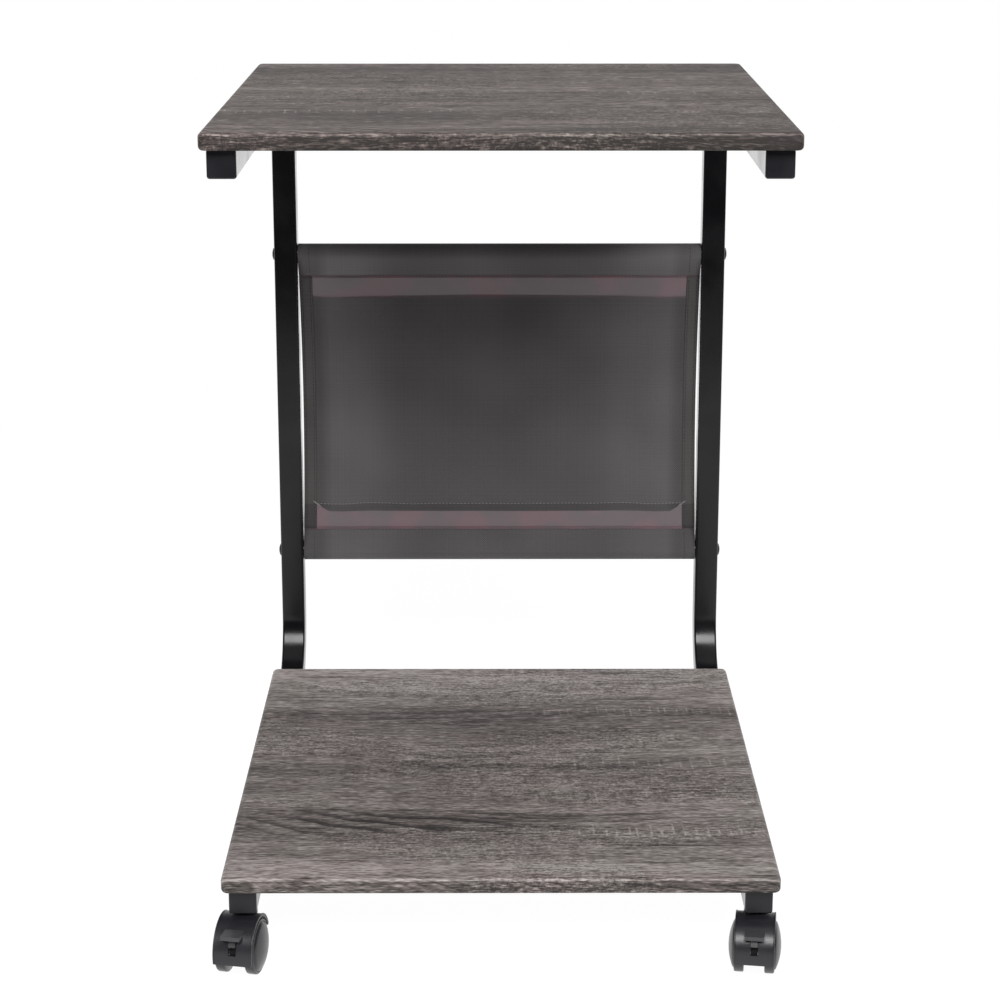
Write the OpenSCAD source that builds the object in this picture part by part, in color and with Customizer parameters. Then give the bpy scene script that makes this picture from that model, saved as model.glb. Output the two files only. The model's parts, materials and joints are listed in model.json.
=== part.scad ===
// Mobile printer stand: two C-shaped square-tube side frames, two wood boards,
// two crossbars carrying a fabric sling with a rear pocket, and four twin-wheel casters.
// Millimetres. +Z up, +X to the right, -Y is the open front. The floor is at z = 0.

/* [Boards] */
// Width of both boards
board_w = 400; // [360:1:460]
// Depth of both boards
board_d = 430; // [400:1:460]
// Thickness of both boards
board_t = 12; // [12:1:18]
// Height of the top board's upper face above the floor
top_height = 610; // [560:1:700]
// Radius on the boards' long edges
board_edge_r = 3; // [1:0.5:5]
// Radius of the boards' corners, seen from above
board_corner_r = 5; // [4:0.5:12]

/* [Side frames] */
// Outside size of the square tube
tube = 20; // [18:0.5:22]
// Wall thickness of the square tube
tube_wall = 1.2; // [1:0.1:1.6]
// Corner radius of the square tube
tube_corner_r = 2; // [1:0.5:3]
// Distance between the two side frames' centre planes
frame_gauge = 371; // [320:1:420]
// Bend radius of the frames, at the tube's centreline
bend_r = 55; // [45:1:70]
// Centreline of the uprights, behind the boards' front edge
upright_back = 490; // [486:1:510]
// Set-back of the rails' capped ends from the boards' front edge
cap_setback = 10; // [6:1:14]

/* [Crossbars] */
// Diameter of the round crossbars
bar_d = 16; // [14:0.5:18]
// Wall thickness of the crossbars
bar_wall = 1; // [0.8:0.1:1.5]
// Height of the upper crossbar's centre
upper_bar_z = 438.5; // [420:0.5:460]
// Height of the lower crossbar's centre
lower_bar_z = 169; // [150:0.5:190]

/* [Sling] */
// Thickness of the sling's cloth
cloth_t = 1; // [0.6:0.1:1.5]
// Width of the hems down the sling's two sides
hem_w = 11; // [8:0.5:14]
// Height of each sleeve, from the bar's centre to its stitch line
sleeve_drop = 19; // [16:0.5:24]
// Height of the pocket's bottom seam
pocket_low_z = 205; // [200:1:230]
// Height of the pocket's open top edge
pocket_high_z = 400; // [380:1:410]
// How far the pocket stands off the sling in the middle of its mouth
pocket_depth = 14; // [10:1:20]

/* [Casters] */
// Height of the bottom rails' underside, which the casters hold up
caster_h = 46; // [46:0.5:52]
// Diameter of the wheels
wheel_d = 40; // [38:0.5:41]
// Width over both wheels of one caster
caster_w = 38; // [36:0.5:40]
// Distance from the swivel axis to the wheel axle
caster_trail = 12; // [11.5:0.5:14]
// Width of the hood
hood_w = 29; // [28:0.5:30]
// Outer radius of the hood
hood_r = 23.4; // [23.2:0.1:24]
// Swivel axis of the front casters, behind the boards' front edge
front_stem_back = 26; // [25:1:40]
// Swivel axis of the rear casters, behind the boards' front edge
rear_stem_back = 395; // [360:1:400]
// How far the front left caster is turned at rest
front_left_turn = -11; // [-30:1:30]
// How far the front right caster is turned at rest
front_right_turn = -8; // [-30:1:30]
// Travel of the brake levers
brake_travel = 14; // [10:1:14]

/* [Hidden] */
$fn = 48;
cut = 1; // how far a cutting shape runs past the face it cuts

// Brake lever's foot tab: width, depth, thickness, underside above the axle, and reach
tab_w = 14;
tab_d = 16;
tab_t = 3;
tab_low = 15.8;
tab_reach = 27.1;
pocket_gap = 0.1;

// The object's own box is centred on the origin: the brake levers' tabs reach furthest
// forwards, and the uprights or the pocket furthest back.
front_reach = front_stem_back - (caster_trail + tab_reach) * cos(front_left_turn)
    - tab_w / 2 * abs(sin(front_left_turn));
rear_reach = upright_back + max(tube / 2, 1.5 * cloth_t + pocket_gap + pocket_depth);
board_front_y = -(front_reach + rear_reach) / 2;

// Side frames
frame_x = frame_gauge / 2;
low_rail_z = caster_h + tube / 2;
high_rail_z = top_height - board_t - tube / 2;
upright_y = board_front_y + upright_back;
bend_y = upright_y - bend_r;
cap_y = board_front_y + cap_setback;
cap_t = 2.5;
cap_plug = 6;
rail_start_y = cap_y + cap_t;
plug_clearance = 0.1;

// Boards and their fasteners: M6 bolts through the rails into inserts in the boards
board_y = board_front_y + board_d / 2;
low_board_z = caster_h + tube;
high_board_z = top_height - board_t;
bolt_r = 3;
bolt_hole_r = 3.2;
bolt_head_r = 5.5;
bolt_head_h = 2.2;
insert_r = 4.5;
insert_h = 9;
board_bolt_ys = [board_front_y + 110, board_front_y + 330];

// Crossbars
inner_x = frame_x - tube / 2;
bar_r = bar_d / 2;
plug_len = 18;

// Sling: cloth around both bars, flat between its two stitch lines
sling_half = inner_x - 0.5;
sleeve_r = bar_r + 0.3;
pocket_y = upright_y + cloth_t / 2 + pocket_gap;
hem_x = sling_half - hem_w;
hem_wall = 0.6;
hem_cover = 0.3;
hem_slack = 1.2;

// Casters
axle_z = wheel_d / 2;
axle_r = 2.5;
running_gap = 0.05;
hood_wall = 2.2;
hood_front_drop = 14;
hood_rear_rise = 20;
hood_edge_r = 0.8;
web_w = 12;
web_r = hood_r - hood_wall / 2;
hub_r = 8;
wheel_gap = 1.5;
dome = 4.5;
bore_depth = 8;
axle_end_gap = 0.3;
stem_r = 4;
stem_low_z = 28.6;
stem_end_gap = 0.6;
stem_high_z = caster_h + 14;
stem_groove_z = 33;
stem_groove_h = 2;
stem_groove_r = 3.3;
flange_h = 1.1;
flange_r = 7.5;
socket_r = 6;
boss_r = 9;
boss_low_z = axle_z + 20;
boss_top_z = caster_h - flange_h - 0.5;
// The lever's arm stands between these angles above the horizontal. Behind the hood's slot
// it widens into a shutter, which keeps the slot closed at both ends of its travel.
lever_half = 2.5;
lever_low = 21;
lever_high = 40;
lever_hub_r = 5.5;
lever_arm_r = 25.5;
shutter_drop = 8;
shutter_r = hood_r - hood_wall - 0.6;
slot_play = 1.5;
slot_side = 0.3;
cheek_gap = 0.4;
cheek_play = 4;

FRONT_LEFT = 0;
FRONT_RIGHT = 1;
REAR_LEFT = 2;
REAR_RIGHT = 3;
caster_side = [-1, 1, -1, 1];
caster_back = [front_stem_back, front_stem_back, rear_stem_back, rear_stem_back];
caster_turn = [front_left_turn, front_right_turn,
               180 + front_right_turn, 180 + front_left_turn];
caster_braked = [true, true, false, false];

frame_black = [0.08, 0.08, 0.09];
plastic_black = [0.12, 0.12, 0.13];
zinc = [0.72, 0.73, 0.75];
wood = [0.42, 0.39, 0.37];
cloth = [0.29, 0.28, 0.28];

// Corner points of a rectangle centred on the origin, with round corners
function round_rect(w, h, r, steps = 4) = [
    for (corner = [0:3], i = [0:steps])
        let (a = 90 * corner + 90 * i / steps,
             sx = corner == 0 || corner == 3 ? 1 : -1,
             sy = corner < 2 ? 1 : -1)
        [sx * (w / 2 - r) + r * cos(a), sy * (h / 2 - r) + r * sin(a)]
];

// A drop outline: round at the top, with its sides running down to a blunt tip
function drop(r, tip, half_tip) = concat(
    [for (a = [-20:10:200]) [r * cos(a), r * sin(a)]],
    [[-half_tip, -tip], [half_tip, -tip]]
);

// Extrudes an outline of the Y-Z plane across X, centred on x = 0
module across(w) {
    rotate([90, 0, 90]) translate([0, 0, -w / 2]) linear_extrude(w) children();
}

// Turns an outline of radius (x) and width (y) about the X axis, over part of a circle.
// Angles run from +Y towards +Z.
module around_x(from, sweep) {
    rotate([90, 0, 90]) rotate([0, 0, from]) rotate_extrude(angle = sweep) children();
}

module tube_section() {
    difference() {
        polygon(round_rect(tube, tube, tube_corner_r));
        polygon(round_rect(tube - 2 * tube_wall, tube - 2 * tube_wall, tube_corner_r / 2, 2));
    }
}

module rail(z) {
    translate([0, rail_start_y, z]) rotate([-90, 0, 0])
        linear_extrude(bend_y - rail_start_y) tube_section();
}

module bend(z, from) {
    translate([0, bend_y, z]) around_x(from, 90) translate([bend_r, 0]) tube_section();
}

module side_frame(side) {
    translate([side * frame_x, 0, 0]) color(frame_black) difference() {
        union() {
            rail(low_rail_z);
            rail(high_rail_z);
            bend(low_rail_z + bend_r, -90);
            bend(high_rail_z - bend_r, 0);
            translate([0, upright_y, low_rail_z + bend_r])
                linear_extrude(high_rail_z - low_rail_z - 2 * bend_r) tube_section();
        }
        for (z = [lower_bar_z, upper_bar_z])
            translate([0, upright_y, z]) rotate([0, 90, 0])
                cylinder(r = bolt_hole_r, h = tube + 2 * cut, center = true);
        for (z = [low_rail_z, high_rail_z], y = board_bolt_ys)
            translate([0, y, z]) cylinder(r = bolt_hole_r, h = tube + 2 * cut, center = true);
        for (back = [front_stem_back, rear_stem_back])
            translate([0, board_front_y + back, caster_h - cut])
                cylinder(r = socket_r, h = tube_wall + 2 * cut);
    }
}

module left_side_frame() { side_frame(-1); }

module right_side_frame() { side_frame(1); }

// Moulded plug: a bevelled face on a hollow spigot
module end_cap(side, z) {
    spigot = tube - 2 * tube_wall - 2 * plug_clearance;
    translate([side * frame_x, cap_y, z]) rotate([-90, 0, 0]) color(plastic_black) {
        difference() {
            linear_extrude(cap_t) polygon(round_rect(tube, tube, tube_corner_r));
            translate([0, 0, -cut]) linear_extrude(cut + 0.5)
                difference() {
                    square(tube + 2 * cut, center = true);
                    polygon(round_rect(tube - 1.4, tube - 1.4, tube_corner_r));
                }
        }
        translate([0, 0, cap_t]) linear_extrude(cap_plug) difference() {
            polygon(round_rect(spigot, spigot, tube_corner_r));
            square(spigot - 4, center = true);
        }
    }
}

module crossbar(z) {
    translate([0, upright_y, z]) rotate([0, 90, 0]) color(frame_black) difference() {
        cylinder(r = bar_r, h = 2 * inner_x, center = true);
        cylinder(r = bar_r - bar_wall, h = 2 * inner_x + 2 * cut, center = true);
    }
}

// Threaded plugs pressed into the ends of both bars
module crossbar_end_plugs() {
    for (side = [-1, 1], z = [lower_bar_z, upper_bar_z])
        translate([side * (inner_x - plug_len / 2), upright_y, z]) rotate([0, 90, 0])
            color(zinc) difference() {
                cylinder(r = bar_r - bar_wall, h = plug_len, center = true);
                cylinder(r = bolt_r, h = plug_len + 2 * cut, center = true);
            }
}

// A low round-headed bolt along +Z, its head's seat at z = 0 and its shank above it
module bolt(shank) {
    head_rim = 0.6;
    rotate_extrude() polygon([
        [0, -bolt_head_h], [bolt_head_r * 0.45, -bolt_head_h * 0.94],
        [bolt_head_r * 0.8, -bolt_head_h * 0.68], [bolt_head_r, -head_rim],
        [bolt_head_r, 0], [bolt_r, 0], [bolt_r, shank - 0.6], [bolt_r - 0.6, shank], [0, shank]
    ]);
}

// Screwed through the uprights into the end plugs
module crossbar_bolts() {
    for (side = [-1, 1], z = [lower_bar_z, upper_bar_z])
        translate([side * (frame_x + tube / 2), upright_y, z]) rotate([0, -side * 90, 0])
            color(plastic_black) bolt(tube + plug_len - 3);
}

module board(z) {
    translate([0, board_y, z + board_t / 2]) color(wood) difference() {
        intersection() {
            linear_extrude(board_t, center = true)
                polygon(round_rect(board_w, board_d, board_corner_r));
            rotate([90, 0, 0]) linear_extrude(board_d, center = true)
                polygon(round_rect(board_w, board_t, board_edge_r));
            across(board_w) polygon(round_rect(board_d, board_t, board_edge_r));
        }
        for (side = [-1, 1], y = board_bolt_ys)
            translate([side * frame_x, y - board_y, -board_t / 2 - cut])
                cylinder(r = insert_r, h = insert_h + cut);
    }
}

module top_board() { board(high_board_z); }

module bottom_board() { board(low_board_z); }

// Threaded inserts, eight in all, flush with the boards' undersides
module board_inserts() {
    for (z = [low_board_z, high_board_z], side = [-1, 1], y = board_bolt_ys)
        translate([side * frame_x, y, z]) color(zinc) difference() {
            cylinder(r = insert_r, h = insert_h);
            translate([0, 0, -cut]) cylinder(r = bolt_r, h = insert_h + 2 * cut);
        }
}

module board_bolts(rail_z) {
    for (side = [-1, 1], y = board_bolt_ys)
        translate([side * frame_x, y, rail_z - tube / 2]) color(plastic_black)
            bolt(tube + insert_h - 1);
}

// Outline of the cloth around one bar, closed below it by the stitch line
module sleeve_section() {
    difference() {
        polygon(drop(sleeve_r + cloth_t, sleeve_drop, cloth_t));
        polygon(drop(sleeve_r, sleeve_drop - 2.5 * cloth_t, cloth_t / 8));
    }
}

// One cloth, sewn into a sleeve around each bar
module sling_panel() {
    low = lower_bar_z + sleeve_drop - 1;
    high = upper_bar_z - sleeve_drop + 1;
    translate([0, upright_y, 0]) color(cloth) {
        across(2 * (sling_half - hem_cover))
            translate([-cloth_t / 2, low]) square([cloth_t, high - low]);
        across(2 * sling_half) translate([0, upper_bar_z]) sleeve_section();
        across(2 * sling_half) translate([0, lower_bar_z]) rotate(180) sleeve_section();
    }
}

// How far the pocket stands off the sling: nothing at its seams, most in the middle of its mouth.
// v runs from 0 at the bottom seam to 1 at the mouth.
function pocket_bulge(x, v) =
    pocket_depth * max(0, 1 - pow(x / (hem_x - 1), 2)) * sin(90 * sqrt(v));

// The second cloth, sewn to the sling's back along its bottom and both sides
module pocket_panel() {
    nu = 32;
    nv = 10;
    half = sling_half - hem_cover - 0.2;
    function place(i, j, back) =
        let (x = half * (2 * i / nu - 1), v = j / nv)
        [x, pocket_y + pocket_bulge(x, v) + back * cloth_t,
         pocket_low_z + v * (pocket_high_z - pocket_low_z)];
    function id(i, j, back) = back * (nu + 1) * (nv + 1) + j * (nu + 1) + i;
    points = [for (back = [0, 1], j = [0:nv], i = [0:nu]) place(i, j, back)];
    front_and_back = [for (j = [0:nv - 1], i = [0:nu - 1]) each [
        [id(i, j, 0), id(i, j + 1, 0), id(i + 1, j + 1, 0)],
        [id(i, j, 0), id(i + 1, j + 1, 0), id(i + 1, j, 0)],
        [id(i, j, 1), id(i + 1, j + 1, 1), id(i, j + 1, 1)],
        [id(i, j, 1), id(i + 1, j, 1), id(i + 1, j + 1, 1)]
    ]];
    low_and_high_edges = [for (i = [0:nu - 1]) each [
        [id(i, 0, 0), id(i + 1, 0, 0), id(i + 1, 0, 1)],
        [id(i, 0, 0), id(i + 1, 0, 1), id(i, 0, 1)],
        [id(i, nv, 0), id(i + 1, nv, 1), id(i + 1, nv, 0)],
        [id(i, nv, 0), id(i, nv, 1), id(i + 1, nv, 1)]
    ]];
    side_edges = [for (j = [0:nv - 1]) each [
        [id(0, j, 0), id(0, j, 1), id(0, j + 1, 1)],
        [id(0, j, 0), id(0, j + 1, 1), id(0, j + 1, 0)],
        [id(nu, j, 0), id(nu, j + 1, 1), id(nu, j, 1)],
        [id(nu, j, 0), id(nu, j + 1, 0), id(nu, j + 1, 1)]
    ]];
    color(cloth) polyhedron(points, concat(front_and_back, low_and_high_edges, side_edges));
}

// Folded tapes that bind the side edges of both cloths
module sling_side_hems() {
    low = lower_bar_z + sleeve_drop + 1;
    high = upper_bar_z - sleeve_drop - 1;
    front = upright_y - cloth_t / 2;
    back = pocket_y + cloth_t + hem_slack;
    for (side = [-1, 1]) color(cloth) difference() {
        translate([side * (sling_half - hem_w / 2), (front + back) / 2, (low + high) / 2])
            cube([hem_w, back - front + 2 * hem_wall, high - low], center = true);
        translate([side * (sling_half - hem_w / 2 - hem_cover), (front + back) / 2,
                   (low + high) / 2])
            cube([hem_w, back - front, high - low + 2 * cut], center = true);
    }
}

// Puts a part of one caster in its place: its swivel axis stands at the origin, and the
// caster faces -Y.
module at_caster(i) {
    translate([caster_side[i] * frame_x, board_front_y + caster_back[i], 0])
        rotate([0, 0, caster_turn[i]]) children();
}

// Puts a part on the caster's axle, which then runs along X through the origin
module at_axle(i) {
    at_caster(i) translate([0, -caster_trail, axle_z]) children();
}

// Flanged sockets set into the bottom rails
module caster_sockets() {
    for (i = [0:3]) at_caster(i) color(zinc) difference() {
        union() {
            translate([0, 0, caster_h - flange_h]) cylinder(r = flange_r, h = flange_h);
            translate([0, 0, caster_h]) cylinder(r = socket_r, h = stem_high_z - caster_h);
        }
        translate([0, 0, caster_h - flange_h - cut])
            cylinder(r = stem_r, h = stem_high_z - caster_h + flange_h + 2 * cut);
    }
}

// Stem with the groove that the hood's bore snaps into
module caster_stem(i) {
    at_caster(i) color(zinc) difference() {
        translate([0, 0, stem_low_z]) cylinder(r = stem_r, h = stem_high_z - stem_low_z);
        translate([0, 0, stem_groove_z - stem_groove_h / 2]) difference() {
            cylinder(r = stem_r + cut, h = stem_groove_h);
            translate([0, 0, -cut]) cylinder(r = stem_groove_r, h = stem_groove_h + 2 * cut);
        }
    }
}

module hood_bore() {
    lip = 1.2;
    low = stem_low_z - stem_end_gap;
    translate([0, 0, low])
        cylinder(r = stem_r + running_gap, h = stem_groove_z - lip / 2 - low);
    translate([0, 0, low]) cylinder(r = stem_groove_r + 0.2, h = boss_top_z);
    translate([0, 0, stem_groove_z + lip / 2])
        cylinder(r = stem_r + running_gap, h = boss_top_z);
}

// Hood, with the web between the wheels that holds the axle and the stem
module caster_hood(i) {
    braked = caster_braked[i];
    at_caster(i) color(plastic_black) difference() {
        union() {
            translate([0, -caster_trail, axle_z]) {
                around_x(hood_rear_rise, 180 - hood_rear_rise + hood_front_drop)
                    translate([hood_r - hood_wall / 2, 0])
                        polygon(round_rect(hood_wall, hood_w, hood_edge_r));
                rotate([0, 90, 0]) cylinder(r = hub_r, h = web_w, center = true);
            }
            across(web_w) polygon([
                [-caster_trail - hub_r, axle_z],
                [-caster_trail - hub_r, axle_z + sqrt(web_r * web_r - hub_r * hub_r)],
                [-caster_trail, axle_z + web_r],
                [boss_r - 1, boss_low_z + 1],
                [boss_r - 1, stem_low_z - 2],
                [-caster_trail + hub_r, axle_z]
            ]);
            translate([0, 0, boss_low_z]) cylinder(r = boss_r, h = boss_top_z - boss_low_z);
        }
        hood_bore();
        translate([0, -caster_trail, axle_z]) {
            rotate([0, 90, 0]) cylinder(r = axle_r, h = web_w + 2 * cut, center = true);
            if (braked) {
                around_x(180 - lever_high - slot_play,
                         lever_high - lever_low + brake_travel + 2 * slot_play)
                    translate([hood_r - hood_wall - cut, -lever_half - slot_side])
                        square([hood_wall + 2 * cut, 2 * (lever_half + slot_side)]);
                translate([-lever_half - cheek_gap, -hub_r - cut, -hub_r - cut])
                    cube([2 * (lever_half + cheek_gap), 2 * hub_r - 1, 2 * hub_r]);
                around_x(180 - lever_high - cheek_play,
                         lever_high + shutter_drop + brake_travel + 2 * cheek_play)
                    translate([axle_r + slot_side, -lever_half - cheek_gap])
                        square([shutter_r - axle_r, 2 * (lever_half + cheek_gap)]);
            }
        }
    }
}

module caster_axle(i) {
    at_axle(i) color(zinc) rotate([0, 90, 0])
        cylinder(r = axle_r, h = web_w + 2 * (wheel_gap + bore_depth - axle_end_gap), center = true);
}

// Wheel on one side of its caster: a narrow tread and a domed outer face, on a blind bore
module wheel(i, side) {
    r = wheel_d / 2;
    inner = web_w / 2 + wheel_gap;
    outer = caster_w / 2;
    bore_end = inner + bore_depth;
    rim = r - 0.9;
    ball_r = (rim * rim + dome * dome) / (2 * dome);
    steps = 8;
    at_axle(i) color(plastic_black) rotate([0, side * 90, 0]) rotate_extrude() polygon(concat(
        [[0, bore_end], [axle_r + running_gap, bore_end], [axle_r + running_gap, inner],
         [r - 0.5, inner], [r, inner + 0.5], [r, outer - dome - 1.2],
         [r - 0.25, outer - dome - 0.5]],
        [for (s = [0:steps])
            let (a = asin(rim / ball_r) * (1 - s / steps))
            [ball_r * sin(a), outer - ball_r + ball_r * cos(a)]]
    ));
}

// Lever on the axle, between the web's cheeks: its arm leaves through the hood's slot and
// ends in a foot tab
module brake_lever(i) {
    at_axle(i) color(plastic_black) difference() {
        union() {
            rotate([0, 90, 0]) cylinder(r = lever_hub_r, h = 2 * lever_half, center = true);
            around_x(180 - lever_high, lever_high - lever_low)
                translate([axle_r + 1, -lever_half])
                    square([lever_arm_r - axle_r - 1, 2 * lever_half]);
            around_x(180 - lever_high, lever_high + shutter_drop)
                translate([axle_r + 1, -lever_half])
                    square([shutter_r - axle_r - 1, 2 * lever_half]);
            difference() {
                translate([-tab_w / 2, -tab_reach, tab_low]) cube([tab_w, tab_d, tab_t]);
                rotate([0, 90, 0]) cylinder(r = hood_r + 0.5, h = tab_w + 2 * cut, center = true);
            }
        }
        rotate([0, 90, 0])
            cylinder(r = axle_r + running_gap, h = 2 * lever_half + 2 * cut, center = true);
    }
}

left_side_frame();
right_side_frame();
end_cap(-1, high_rail_z);  // top_left_end_cap
end_cap(1, high_rail_z);  // top_right_end_cap
end_cap(-1, low_rail_z);  // bottom_left_end_cap
end_cap(1, low_rail_z);  // bottom_right_end_cap
crossbar(upper_bar_z);  // upper_crossbar
crossbar(lower_bar_z);  // lower_crossbar
crossbar_end_plugs();
crossbar_bolts();
top_board();
bottom_board();
board_inserts();
board_bolts(high_rail_z);  // top_board_bolts
board_bolts(low_rail_z);  // bottom_board_bolts
sling_panel();
pocket_panel();
sling_side_hems();
caster_sockets();
caster_stem(FRONT_LEFT);  // front_left_caster_stem
caster_stem(FRONT_RIGHT);  // front_right_caster_stem
caster_stem(REAR_LEFT);  // rear_left_caster_stem
caster_stem(REAR_RIGHT);  // rear_right_caster_stem
caster_hood(FRONT_LEFT);  // front_left_caster_hood
caster_hood(FRONT_RIGHT);  // front_right_caster_hood
caster_hood(REAR_LEFT);  // rear_left_caster_hood
caster_hood(REAR_RIGHT);  // rear_right_caster_hood
caster_axle(FRONT_LEFT);  // front_left_caster_axle
caster_axle(FRONT_RIGHT);  // front_right_caster_axle
caster_axle(REAR_LEFT);  // rear_left_caster_axle
caster_axle(REAR_RIGHT);  // rear_right_caster_axle
wheel(FRONT_LEFT, -1);  // front_left_left_wheel
wheel(FRONT_LEFT, 1);  // front_left_right_wheel
wheel(FRONT_RIGHT, -1);  // front_right_left_wheel
wheel(FRONT_RIGHT, 1);  // front_right_right_wheel
wheel(REAR_LEFT, -1);  // rear_left_left_wheel
wheel(REAR_LEFT, 1);  // rear_left_right_wheel
wheel(REAR_RIGHT, -1);  // rear_right_left_wheel
wheel(REAR_RIGHT, 1);  // rear_right_right_wheel
brake_lever(FRONT_LEFT);  // front_left_brake_lever
brake_lever(FRONT_RIGHT);  // front_right_brake_lever
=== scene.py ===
import json
import math

import bmesh
import bpy
from mathutils import Matrix, Vector, noise


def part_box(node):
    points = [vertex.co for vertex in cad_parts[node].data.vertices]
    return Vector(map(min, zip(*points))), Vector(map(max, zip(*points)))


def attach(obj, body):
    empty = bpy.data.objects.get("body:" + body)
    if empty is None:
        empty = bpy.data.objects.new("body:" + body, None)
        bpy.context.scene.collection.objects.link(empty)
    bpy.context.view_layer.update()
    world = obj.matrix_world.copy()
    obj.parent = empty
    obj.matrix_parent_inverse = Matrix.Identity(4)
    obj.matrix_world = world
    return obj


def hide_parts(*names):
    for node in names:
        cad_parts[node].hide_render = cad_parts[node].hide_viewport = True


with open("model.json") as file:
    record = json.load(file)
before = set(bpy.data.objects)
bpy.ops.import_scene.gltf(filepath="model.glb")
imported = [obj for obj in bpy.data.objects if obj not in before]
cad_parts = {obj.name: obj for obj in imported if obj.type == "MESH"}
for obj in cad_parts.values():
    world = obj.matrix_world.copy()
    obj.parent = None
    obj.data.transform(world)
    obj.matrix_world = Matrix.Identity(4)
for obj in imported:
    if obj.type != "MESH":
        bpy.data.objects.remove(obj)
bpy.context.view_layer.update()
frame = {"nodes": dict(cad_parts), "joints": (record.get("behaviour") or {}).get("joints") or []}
scene = bpy.context.scene


# ---------------------------------------------------------------------------
# Camera: level with the stand's middle and a little above its top board.
# ---------------------------------------------------------------------------
camera_data = bpy.data.cameras.new("camera")
camera_data.sensor_width = 36
camera_data.lens = 86.84
camera_data.shift_y = -0.08
camera = bpy.data.objects.new("camera", camera_data)
camera.location = (-0.0044, -1.8266, 0.824)
camera.rotation_euler = (math.radians(90 - 14.49), 0, math.radians(-0.135))
scene.collection.objects.link(camera)
scene.camera = camera


# ---------------------------------------------------------------------------
# Studio: a white floor that glows softly, so that hardly any shadow falls on it, a
# wide softbox high in front, a weak one overhead, and a pale wall low behind.
# ---------------------------------------------------------------------------
def node_in(tree, kind, inputs=None, **settings):
    """Puts a shader node into a tree. Inputs are values or the sockets they come from."""
    node = tree.nodes.new(kind)
    for name, value in settings.items():
        setattr(node, name, value)
    for name, value in (inputs or {}).items():
        if isinstance(value, bpy.types.NodeSocket):
            tree.links.new(value, node.inputs[name])
        else:
            node.inputs[name].default_value = value
    return node


def new_material(name):
    """An empty node material, its tree, and its output's surface socket."""
    material = bpy.data.materials.new(name)
    material.use_nodes = True
    material.node_tree.nodes.clear()
    output = material.node_tree.nodes.new("ShaderNodeOutputMaterial")
    return material, material.node_tree, output.inputs["Surface"]


scene.view_settings.view_transform = "Standard"
scene.view_settings.look = "None"

front_glow = 0.06
back_glow = 1.35
world = bpy.data.worlds.new("studio")
world.use_nodes = True
scene.world = world
room = world.node_tree
room.nodes.clear()
seen_by_camera = node_in(room, "ShaderNodeLightPath").outputs["Is Camera Ray"]
direction = node_in(room, "ShaderNodeTexCoord").outputs["Generated"]
heading = node_in(room, "ShaderNodeSeparateXYZ", {"Vector": direction}).outputs
upward = node_in(room, "ShaderNodeMapRange", {
    "Value": heading["Z"], "From Min": 0.2, "From Max": 0.65,
    "To Min": back_glow, "To Max": front_glow}, interpolation_type="SMOOTHSTEP")
wall_glow = node_in(room, "ShaderNodeMapRange", {
    "Value": heading["Y"], "From Min": -0.25, "From Max": 0.55,
    "To Min": front_glow, "To Max": upward.outputs["Result"]}, interpolation_type="SMOOTHSTEP")
room_strength = node_in(room, "ShaderNodeMapRange", {
    "Value": seen_by_camera, "To Min": wall_glow.outputs["Result"], "To Max": 1.0})
room_light = node_in(room, "ShaderNodeBackground", {
    "Color": (1, 1, 1, 1), "Strength": room_strength.outputs["Result"]})
node_in(room, "ShaderNodeOutputWorld", {"Surface": room_light.outputs["Background"]})

floor_size = 2.6
bm = bmesh.new()
bmesh.ops.create_grid(bm, x_segments=1, y_segments=1, size=floor_size / 2)
floor_mesh = bpy.data.meshes.new("floor")
bm.to_mesh(floor_mesh)
bm.free()
floor = bpy.data.objects.new("floor", floor_mesh)
scene.collection.objects.link(floor)
material, tree, surface = new_material("floor_white")
glow = node_in(tree, "ShaderNodeEmission", {"Strength": 1.1})
matt = node_in(tree, "ShaderNodeBsdfDiffuse", {"Color": (0.9, 0.9, 0.9, 1)})
floor_mix = node_in(tree, "ShaderNodeMixShader", {
    "Fac": 0.12, 1: glow.outputs["Emission"], 2: matt.outputs["BSDF"]})
tree.links.new(floor_mix.outputs["Shader"], surface)
floor_mesh.materials.append(material)


def softbox(name, place, aim, size, watts):
    light = bpy.data.lights.new(name, "AREA")
    light.shape = "RECTANGLE"
    light.size, light.size_y = size
    light.energy = watts
    lamp = bpy.data.objects.new(name, light)
    lamp.location = place
    lamp.rotation_euler = (Vector(aim) - Vector(place)).to_track_quat("-Z", "Y").to_euler()
    scene.collection.objects.link(lamp)


softbox("overhead_softbox", (0.25, -0.35, 2.3), (0, 0, 0.4), (1.9, 1.7), 6)
softbox("front_softbox", (0.3, -2.6, 2.3), (0, 0, 0.3), (2.6, 1.2), 126)


# ---------------------------------------------------------------------------
# The two boards: 12 mm particle board wrapped in a printed, lightly embossed
# oak film that runs over the long edges, with rounded rims.
# ---------------------------------------------------------------------------
def value_of(tree, operation, a, b=0.0):
    """One step of arithmetic on shader values."""
    return node_in(tree, "ShaderNodeMath", {0: a, 1: b}, operation=operation).outputs[0]


def plus(tree, a, b):
    return value_of(tree, "ADD", a, b)


def minus(tree, a, b):
    return value_of(tree, "SUBTRACT", a, b)


def times(tree, first, *others):
    for other in others:
        first = value_of(tree, "MULTIPLY", first, other)
    return first


def fade(tree, value, start, end, low=0.0, high=1.0):
    """A smooth step in a shader value, from low at start to high at end."""
    step = node_in(tree, "ShaderNodeMapRange", {
        "Value": value, "From Min": start, "From Max": end, "To Min": low, "To Max": high},
        interpolation_type="SMOOTHSTEP")
    return step.outputs["Result"]


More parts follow.
